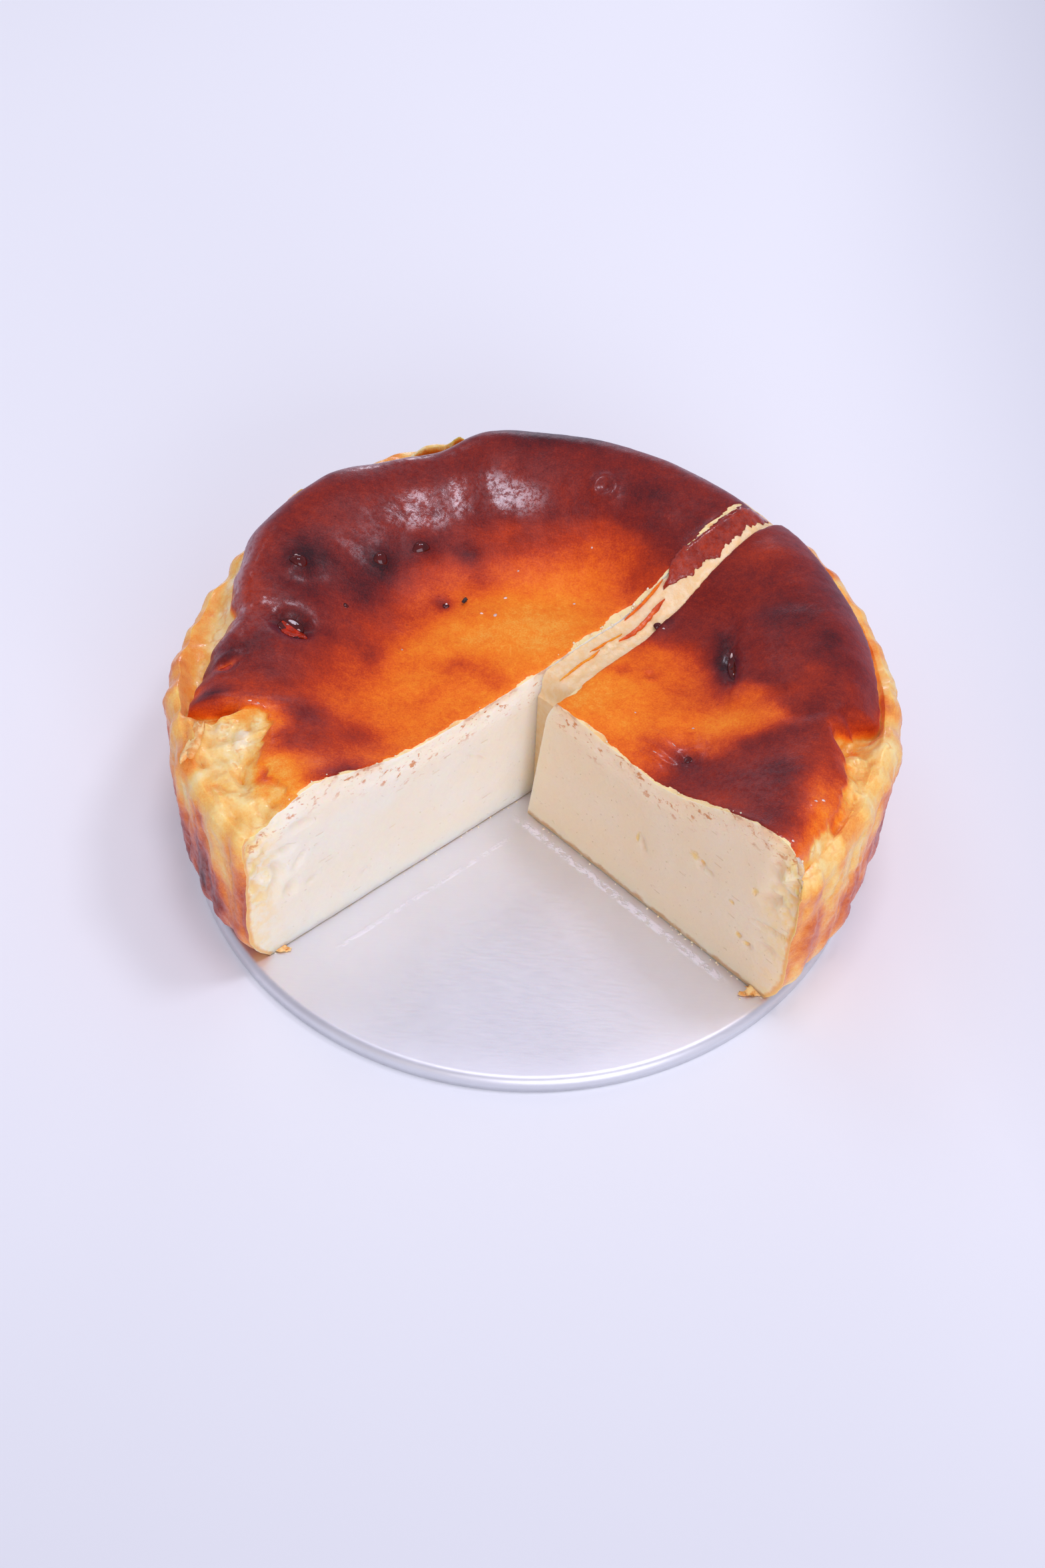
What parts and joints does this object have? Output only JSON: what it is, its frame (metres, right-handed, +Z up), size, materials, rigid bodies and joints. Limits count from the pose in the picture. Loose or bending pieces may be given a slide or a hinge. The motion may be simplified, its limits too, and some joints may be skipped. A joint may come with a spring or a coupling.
{
  "type": "burnt-top cheesecake",
  "caption": "Round baked cheesecake with a browned sunken top, cut into a half and a quarter with one quarter taken away, standing on its tin's loose metal base.",
  "frame": {"origin": "centre of the tin base's footprint, on the surface it stands on", "axes": "+Z up; +Y away from the open quarter; +X towards the side of the quarter slice"},
  "size_m": [0.1565, 0.151, 0.0569],
  "materials": {
    "half_cake": "browned, slightly glossy skin over cream-coloured baked cheese",
    "quarter_slice": "browned, slightly glossy skin over cream-coloured baked cheese",
    "tin_base": "satin"
  },
  "bodies": {
    "root": {"half_cake": "half_cake", "quarter_slice": "quarter_slice", "tin_base": "tin_base"}
  },
  "joints": []
}
